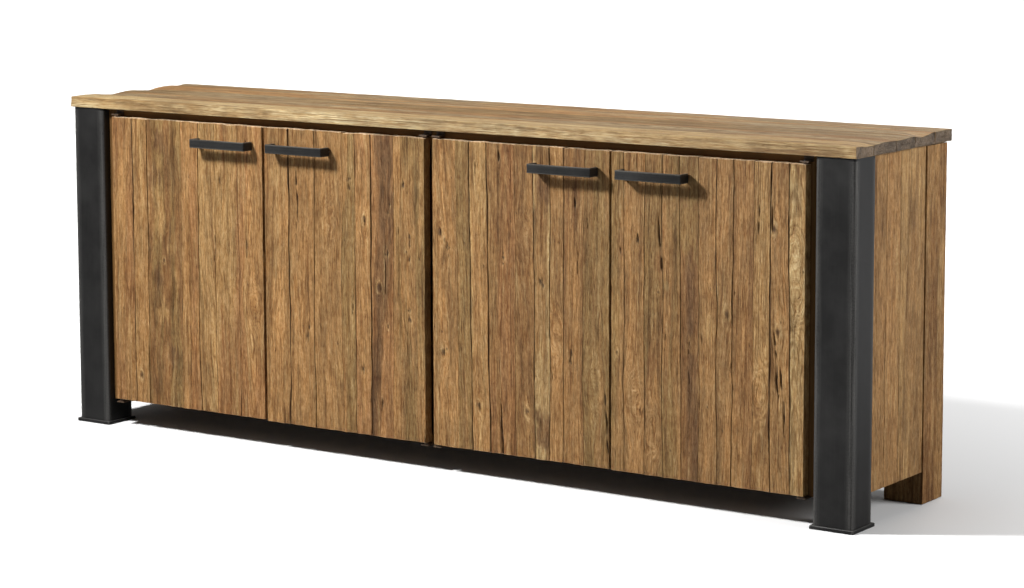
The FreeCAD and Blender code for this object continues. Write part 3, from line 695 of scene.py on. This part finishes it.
def black_steel_material(name, colour, worn, streak_axis, roughness=0.40):
    """Blackened steel, brushed along its length, brighter along the edges from wear and a painted highlight.
    """
    n = Nodes(name)
    scale = [520.0, 520.0, 520.0]
    scale[streak_axis] = 6.0
    brushed = n.noise(n.scaled(n.place(), tuple(scale)), detail=3.0, roughness=0.65)
    clouds = n.noise(n.place(), scale=11.0, detail=5.0, roughness=0.65)
    speck = n.noise(n.place(), scale=420.0)
    tint = n.mix(n.range(clouds, 0.4, 0.7), colour, toned(colour, 2.0))
    tint = n.mix(n.range(brushed, 0.5, 0.85, 0.0, 0.35), tint, toned(colour, 3.5))
    # where the mesh marks edges and corners: worn bare steel and painted highlight, lighter and more metallic
    scuffs_and_shine = n.range(n.plus(brushed, n.times(speck, 0.5)), 0.50, 0.95)
    scuffs_and_shine = n.times(n.attribute("rubbed_and_lit"), scuffs_and_shine)
    n.set("Base Color", n.mix(scuffs_and_shine, tint, worn))
    n.set("Metallic", n.range(scuffs_and_shine, 0.0, 1.0, 0.1, 0.8))
    n.set("Roughness", n.range(clouds, 0.3, 0.7, roughness - 0.06, roughness + 0.08))
    n.set("Specular IOR Level", 0.30)
    n.bump(n.plus(brushed, n.times(speck, 0.4)), 0.15, 0.12 * MM)
    return n.material


def plated_metal_material(name, colour, roughness):
    """Small plated hardware with faint polishing lines and tarnish."""
    n = Nodes(name)
    lines = n.noise(n.scaled(n.place(), (2500.0, 2500.0, 300.0)))
    tarnish = n.noise(n.place(), scale=160.0, detail=3.0)
    n.set("Base Color", n.mix(n.range(tarnish, 0.4, 0.7), colour, toned(colour, 0.6)))
    n.set("Metallic", 1.0)
    n.set("Roughness", n.range(lines, 0.3, 0.7, roughness, roughness + 0.15))
    return n.material


def matt_coating_material(name, colour):
    """Matt moulded plastic or lacquer with a fine texture."""
    n = Nodes(name)
    grainy = n.noise(n.place(), scale=1500.0)
    n.set("Base Color", n.mix(grainy, toned(colour, 0.8), toned(colour, 1.2)))
    n.set("Roughness", n.range(grainy, 0.3, 0.7, 0.5, 0.65))
    n.bump(grainy, 0.2, 0.05 * MM)
    return n.material


# ======== wooden parts in view ========
def node_box(node):
    low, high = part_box(node)
    return np.array(low), np.array(high)


def finish_piece(piece, material, body, node):
    """Gives a piece its material and the body it moves with, and hides the CAD part it stands for."""
    piece.data.materials.append(material)
    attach(piece, body)
    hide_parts(node)


def plank_limits(node):
    """X of each joint between a door's planks, read from the lower front edge of the CAD planks."""
    low = node_box(node)[0]
    points = np.array([v.co for v in NODES[node].data.vertices])
    on_edge = (abs(points[:, 2] - low[2]) < 0.05 * MM) & (abs(points[:, 1] - low[1]) < 0.05 * MM)
    return np.unique(np.round(points[on_edge, 0], 5))


def make_doors(material):
    """Worn planks, each set back its own amount, with ragged ends."""
    for door, looks in DOOR_LOOKS.items():
        node = f"door_{door}_planks"
        low, high = node_box(node)
        limits = plank_limits(node)
        last = len(looks)
        edges = []
        for k, (opening, lean) in enumerate(zip(DOOR_JOINTS[door], DOOR_LEANS[door])):
            outer = k in (0, last)
            edges.append(Edge(int(opening) / 9, 0.0 if outer else 3.6, 10 * door + k, outer, lean))
        for k, look in enumerate(looks):
            inset = 0.3 + 2.4 * (0.5 + 0.5 * float(noise(k * 1.7, door * 3.1, 5)))

            def ends(a, d, l, door=door, k=k):
                low_cut = (DOOR_BOTTOM_CUTS[door] + 0.8 * (1 + layered(a / 0.03, k, 41))) * MM
                high_cut = (0.3 + 1.3 * (1 + layered(a / 0.022, k + 20 * door, 43))) * MM
                return 0.0, low_cut, high_cut

            place = ((limits[k], low[1], low[2]), X, Y, Z)
            size = (limits[k + 1] - limits[k], high[1] - low[1], high[2] - low[2])
            placed = [flaw[1:] for flaw in DOOR_FLAWS[door] if flaw[0] == k + 1]
            piece = plank(f"door_{door}_plank_{k + 1}", place, size, look, 100 * door + 7 * k, DOOR_STYLE,
                          edges[k:k + 2], inset, ends, placed)
            finish_piece(piece, material, f"door_{door}", node)


# where the ends of the top are worn down: place from the front edge, half width and depth, in millimetres,
# and how far the wear reaches along the top, in metres
LEFT_END_DIPS = [(150, 45, 7.0), (287, 38, 7.5), (413, 18, 2.5)]
RIGHT_END_DIPS = [(60, 40, 5.0), (190, 60, 3.5), (305, 30, 6.5)]
LEFT_DIP_REACH, RIGHT_DIP_REACH = 0.045, 0.030


def make_top(material):
    """Long boards, worn down and scalloped at the left end and rough-hewn at the right end."""
    front = node_box("top_board_1")[0][1]

    def dips(y, listed):
        return sum(depth * spot(y, 0, place * MM, 0, width * MM, 1) for place, width, depth in listed) * MM

    for k, look in enumerate(TOP_LOOKS):
        node = f"top_board_{k + 1}"
        low, high = node_box(node)

        def ends(a, d, l, start=low[1], length=high[0] - low[0]):
            y = start - front + a
            sunk = dips(y, LEFT_END_DIPS) * np.exp(-((l / LEFT_DIP_REACH) ** 2))
            sunk = sunk + dips(y, RIGHT_END_DIPS) * np.exp(-(((length - l) / RIGHT_DIP_REACH) ** 2))
            left = (2.0 + 2.0 * layered(y / 0.035, d / 0.03, 61)) * MM
            right = (2.5 + 3.5 * layered(y / 0.028, d / 0.03, 67)) * MM
            return sunk, np.clip(left, 0, None), np.clip(right, 0, None)

        place = ((low[0], low[1], high[2]), Y, -Z, X)
        size = (high[1] - low[1], high[2] - low[2], high[0] - low[0])
        outer = (k == 0, k == len(TOP_LOOKS) - 1)
        edges = [Edge(0.6 if free else 0.1, 0.0 if free else 1.2, 80 + k + side, free)
                 for side, free in enumerate(outer)]
        placed = [("straw", 0.5, 0.95, 22)] if k == 0 else []
        piece = plank(node + "_worn", place, size, look, 900 + 11 * k, TOP_STYLE, edges, 0.2, ends, placed)
        finish_piece(piece, material, "carcass", node)


def make_side_planks(material):
    """Three upright planks on each side, with figure of its own on each plank."""
    for side, outward in (("left", -1), ("right", 1)):
        for k, look in enumerate(SIDE_LOOKS):
            node = f"side_plank_{side}_{k + 1}"
            low, high = node_box(node)
            outer = high[0] if outward > 0 else low[0]
            place = ((outer, low[1], low[2]), Y, -outward * X, Z)
            size = (high[1] - low[1], high[0] - low[0], high[2] - low[2])
            seed = 1300 + 13 * k + (50 if outward < 0 else 0)
            piece = plank(node + "_worn", place, size, look, seed, SIDE_STYLE)
            finish_piece(piece, material, "carcass", node)


def make_posts(material):
    """Rear posts, worn and weathered all round."""
    for side, seed in (("left", 1500), ("right", 1507)):
        node = f"rear_post_{side}"
        low, high = node_box(node)
        edges = (Edge(0.2, outer=True), Edge(0.2, outer=True))
        piece = plank(node + "_worn", (low, X, Y, Z), tuple(high - low), POST_LOOK, seed, POST_STYLE, edges)
        finish_piece(piece, material, "carcass", node)


# ======== steel parts ========
# radius of the rounded corners, how far wear and painted highlight reach beside that, and width of the broken
# edges
LEG_ROUND, LEG_RUB_AND_SHINE = 8 * MM, 12 * MM
FOOT_ROUND, FOOT_RUB_AND_SHINE = 2.5 * MM, 4 * MM
BROKEN_EDGE = 0.9 * MM
# beside a rounded corner: share of the width that is worn and painted lighter, and how much there
SHOULDERS = [(1.0, 0.0), (0.35, 0.3)]


def corner_loop(x0, x1, y0, y1, radius, segments, rub_and_shine_width):
    """Points round a rectangle with rounded corners, and how worn and painted lighter each is: most at the
    corners.
    """
    def beyond(point, angle, distance):
        return point[0] - distance * math.sin(angle), point[1] + distance * math.cos(angle)

    points, rubbed_and_lit = [], []
    centres = [(x1 - radius, y1 - radius), (x0 + radius, y1 - radius),
               (x0 + radius, y0 + radius), (x1 - radius, y0 + radius)]
    for quarter, (cx, cy) in enumerate(centres):
        angles = [math.radians(90 * (quarter + k / segments)) for k in range(segments + 1)]
        arc = [(cx + radius * math.cos(angle), cy + radius * math.sin(angle)) for angle in angles]
        points += [beyond(arc[0], angles[0], -share * rub_and_shine_width) for share, _ in SHOULDERS]
        points += arc
        points += [beyond(arc[-1], angles[-1], share * rub_and_shine_width) for share, _ in SHOULDERS[::-1]]
        rubbed_and_lit += [amount for _, amount in SHOULDERS]
        rubbed_and_lit += [1 - 0.35 * abs(2 * k / segments - 1) for k in range(segments + 1)]
        rubbed_and_lit += [amount for _, amount in SHOULDERS[::-1]]
    return points, rubbed_and_lit


def stacked_loops(name, loops, rubbed_and_lit, caps):
    """Closed mesh through loops of points, bottom to top, with its end faces given as lists of columns."""
    n = len(loops[0])
    points = [point for loop in loops for point in loop]
    faces = [[j * n + k, j * n + (k + 1) % n, (j + 1) * n + (k + 1) % n, (j + 1) * n + k]
             for j in range(len(loops) - 1) for k in range(n)]
    faces += [cap[::-1] for cap in caps]
    faces += [[(len(loops) - 1) * n + k for k in cap] for cap in caps]
    piece = mesh_piece(name, points, faces, 30)
    add_attribute(piece, "rubbed_and_lit", rubbed_and_lit)
    return piece


def upright_block(name, low, high, radius, rub_and_shine_width, levels):
    """Upright block with rounded corners: each level is a height and how far it is drawn in."""
    loop, wear_and_shine = corner_loop(low[0], high[0], low[1], high[1], radius, 8, rub_and_shine_width)
    middle = (low[:2] + high[:2]) / 2
    loops, rubbed_and_lit = [], []
    for z, drawn_in in levels:
        share = 1 - drawn_in / ((high[0] - low[0]) / 2)
        drawn = middle + (np.array(loop) - middle) * share
        loops.append([(x, y, z) for x, y in drawn])
        # broken edges are worn and painted lighter as highlight too
        rubbed_and_lit += [max(w, 0.9 if drawn_in else 0.0) for w in wear_and_shine]
    return stacked_loops(name, loops, rubbed_and_lit, [list(range(len(loop)))])


def make_legs(material):
    """Tube legs with corners worn and painted lighter as highlight, on foot plates with broken edges."""
    for side in ("left", "right"):
        low, high = node_box(f"front_leg_{side}")
        ends = [(low[2], 0.0), (high[2], 0.0)]
        leg = upright_block(f"steel_leg_{side}", low, high, LEG_ROUND, LEG_RUB_AND_SHINE, ends)
        finish_piece(leg, material, "carcass", f"front_leg_{side}")
        low, high = node_box(f"foot_plate_{side}")
        levels = [(low[2], BROKEN_EDGE), (low[2] + BROKEN_EDGE, 0.0),
                  (high[2] - BROKEN_EDGE, 0.0), (high[2], BROKEN_EDGE)]
        foot = upright_block(f"foot_{side}", low, high, FOOT_ROUND, FOOT_RUB_AND_SHINE, levels)
        finish_piece(foot, material, "carcass", f"foot_plate_{side}")


def unit(vectors):
    return vectors / np.linalg.norm(vectors, axis=1)[:, None]


def make_handles(material):
    """Flat bar bent into a U, its edges broken: loops round the U, from its lower to its upper face."""
    bar, bend, rub_and_shine_width = 7 * MM, 3 * MM, 3.5 * MM
    for door in range(1, 5):
        low, high = node_box(f"handle_{door}")
        (x0, y0, z0), (x1, y1, z1) = low, high
        cut = 0.3 * bend
        outer = [(x0, y1), (x0, y0 + bend), (x0 + cut, y0 + cut), (x0 + bend, y0),
                 (x1 - bend, y0), (x1 - cut, y0 + cut), (x1, y0 + bend), (x1, y1)]
        inner = [(x1 - bar, y1), (x1 - bar, y0 + bar), (x0 + bar, y0 + bar), (x0 + bar, y1)]
        ring = np.array(outer + inner)
        ahead, behind = unit(np.roll(ring, -1, 0) - ring), unit(ring - np.roll(ring, 1, 0))
        tangent = unit(ahead + behind)
        inward = np.stack([-tangent[:, 1], tangent[:, 0]], 1)
        loops, rubbed_and_lit = [], []
        # each level's height, how far it is drawn in, and how worn and painted lighter as highlight it is:
        # the broken edges most, the top one fully
        levels = [(z0, BROKEN_EDGE, 0.9), (z0 + BROKEN_EDGE, 0.0, 0.7), (z0 + rub_and_shine_width, 0.0, 0.1),
                  (z1 - rub_and_shine_width, 0.0, 0.1), (z1 - BROKEN_EDGE, 0.0, 0.8), (z1, BROKEN_EDGE, 1.0)]
        for z, drawn_in, wear_and_shine in levels:
            loops.append([(x, min(y, y1), z) for x, y in ring + inward * drawn_in])
            rubbed_and_lit += [wear_and_shine] * len(ring)
        # the U's faces in convex pieces: places 0 to 7 run round its outside and 8 to 11 round its inside
        caps = [[0, 1, 10, 11], [1, 2, 3, 10], [3, 4, 9, 10], [4, 5, 6, 9], [6, 7, 8, 9]]
        piece = stacked_loops(f"bar_handle_{door}", loops, rubbed_and_lit, caps)
        finish_piece(piece, material, f"door_{door}", f"handle_{door}")


# ======== parts carried over from the CAD model ========
def paint(material, *nodes):
    """Gives CAD parts that stay as they are a procedural material."""
    for node in nodes:
        for slot in NODES[node].material_slots:
            slot.material = material


def paint_inner_parts(black_steel):
    upright = stained_wood_material("stained_upright", CASE_STAIN, along=2)
    level = stained_wood_material("stained_level", CASE_STAIN, along=0)
    across = stained_wood_material("stained_across", CASE_STAIN, along=1)
    shelf = stained_wood_material("stained_shelf", SHELF_STAIN, along=0)
    ply = stained_wood_material("stained_ply", PLY_STAIN, along=2)
    zinc = plated_metal_material("zinc_plate", ZINC, 0.30)
    nickel = plated_metal_material("nickel_plate", NICKEL, 0.18)
    lacquer = matt_coating_material("brown_lacquer", BROWN_LACQUER)
    plastic = matt_coating_material("brown_plastic", BROWN_PLASTIC)
    paint(upright, "inner_side_left", "inner_side_right", "centre_partition")
    paint(level, "bottom_panel", "top_rails")
    paint(across, "side_rails_left", "side_rails_right")
    paint(shelf, "shelf_left", "shelf_right")
    paint(ply, "back_panel_left", "back_panel_right")
    paint(nickel, "shelf_pins")
    paint(lacquer, "bracket_screws", "pivot_brackets")
    paint(zinc, "case_screws")
    paint(black_steel, "leg_top_plate_left", "leg_top_plate_right", "pivot_pins")
    paint(plastic, "magnet_catches")
    for door in DOOR_LOOKS:
        paint(level, f"door_{door}_battens")
        paint(zinc, f"handle_screws_{door}", f"strike_plate_{door}")
        paint(plastic, f"pivot_bushes_{door}")


# ======== studio ========
LIT_POINT = (0, 0, 0.45)


def make_camera():
    """Well to the right of the middle, a little above the top, looking slightly down."""
    camera = bpy.data.objects.new("camera", bpy.data.cameras.new("camera"))
    bpy.context.scene.collection.objects.link(camera)
    yaw, pitch, roll = 0.602, 0.128, -0.003
    forward = Vector((-math.sin(yaw) * math.cos(pitch), math.cos(yaw) * math.cos(pitch), -math.sin(pitch)))
    level = Vector((math.cos(yaw), math.sin(yaw), 0))
    upright = level.cross(forward)
    right = level * math.cos(roll) + upright * math.sin(roll)
    up = upright * math.cos(roll) - level * math.sin(roll)
    camera.matrix_world = Matrix((right, up, -forward)).transposed().to_4x4()
    camera.location = (3.984, -5.661, 1.489)
    camera.data.sensor_width = 36.0
    camera.data.lens = 102.44
    camera.data.shift_y = -0.08
    camera.data.clip_start, camera.data.clip_end = 0.1, 100
    bpy.context.scene.camera = camera


def disc_light(name, place, facing, size, power, even):
    """Round soft box. An even one doesn't fade with distance, as if fill light made up for that."""
    light = bpy.data.objects.new(name, bpy.data.lights.new(name, "AREA"))
    light.data.shape = "DISK"
    light.data.size = size
    light.data.energy = power
    light.location = place
    light.rotation_euler = facing.to_track_quat("-Z", "Y").to_euler()
    if even:
        light.data.use_nodes = True
        tree = light.data.node_tree
        falloff = tree.nodes.new("ShaderNodeLightFalloff")
        falloff.inputs["Strength"].default_value = 1.0
        tree.links.new(falloff.outputs["Constant"], tree.nodes["Emission"].inputs["Strength"])
    bpy.context.scene.collection.objects.link(light)


def soft_light(name, azimuth, elevation, distance, size, power, even=False):
    """Soft box aimed at the object. Azimuth 0 is straight in front and 90 to the right, in degrees."""
    azimuth, elevation = math.radians(azimuth), math.radians(elevation)
    level = Vector((math.sin(azimuth), -math.cos(azimuth), 0)) * math.cos(elevation)
    away = level + Vector((0, 0, math.sin(elevation)))
    disc_light(name, Vector(LIT_POINT) + away * distance, -away, size, power, even)


def backdrop_lights(height, size, power):
    """Soft boxes high above the object's four sides that face away from it, for the floor further out."""
    reach_x, reach_y = 1.05 * CAD_HIGH[0], 1.05 * CAD_HIGH[1]
    for x, y in ((1, 0), (-1, 0), (0, 1), (0, -1)):
        disc_light("backdrop", (reach_x * x, reach_y * y, height), Vector((x, y, 0)), size, power, True)


def seen_and_bounced(tree, seen, bounced):
    """A value that is one thing where the camera looks straight at a surface, another in bounced light."""
    path = tree.nodes.new("ShaderNodeLightPath")
    mix = tree.nodes.new("ShaderNodeMapRange")
    tree.links.new(path.outputs["Is Camera Ray"], mix.inputs["Value"])
    mix.inputs["To Min"].default_value, mix.inputs["To Max"].default_value = bounced, seen
    return mix.outputs["Result"]


def make_studio():
    """White room with a plain floor: bright to look at, with less bounce than white walls would give."""
    world = bpy.data.worlds.new("world")
    world.use_nodes = True
    background = world.node_tree.nodes["Background"]
    background.inputs["Color"].default_value = (1.0, 1.0, 1.0, 1.0)
    world.node_tree.links.new(seen_and_bounced(world.node_tree, 1.0, 0.14), background.inputs["Strength"])
    bpy.context.scene.world = world
    bpy.context.scene.view_settings.view_transform = "Standard"
    soft_light("key", -37.5, 40, 2.57, 0.40, 21.8, even=True)
    soft_light("side", 103, 20, 5.5, 2.6, 225)
    soft_light("overhead", 180, 80, 4.5, 3.0, 40)
    soft_light("back", 176, 30, 6.0, 3.0, 90)
    backdrop_lights(10.0, 1.0, 30)

    reach = 30.0
    corners = [(-reach, -reach, 0), (reach, -reach, 0), (reach, reach, 0), (-reach, reach, 0)]
    floor = mesh_piece("floor", corners, [[0, 1, 2, 3]])
    n = Nodes("pale_floor")
    albedo = seen_and_bounced(n.tree, 0.70, 0.26)
    n.set("Base Color", n.add("ShaderNodeCombineXYZ", {0: albedo, 1: albedo, 2: albedo}).outputs[0])
    n.set("Roughness", 0.7)
    n.set("Specular IOR Level", 0.1)
    floor.data.materials.append(n.material)


# ======== build ========
make_camera()
make_studio()
make_doors(teak_material("teak_doors"))
make_top(teak_material("teak_top", gloss=0.35, contrast=0.9, stretch=3.0))
make_side_planks(teak_material("teak_sides"))
make_posts(teak_material("teak_posts", gloss=0.2))
black_steel = black_steel_material("black_steel", STEEL, WORN_AND_SHINING_STEEL, streak_axis=2)
make_legs(black_steel)
make_handles(black_steel_material("handle_black", HANDLE_STEEL, WORN_AND_SHINING_HANDLE, streak_axis=0))
paint_inner_parts(black_steel)
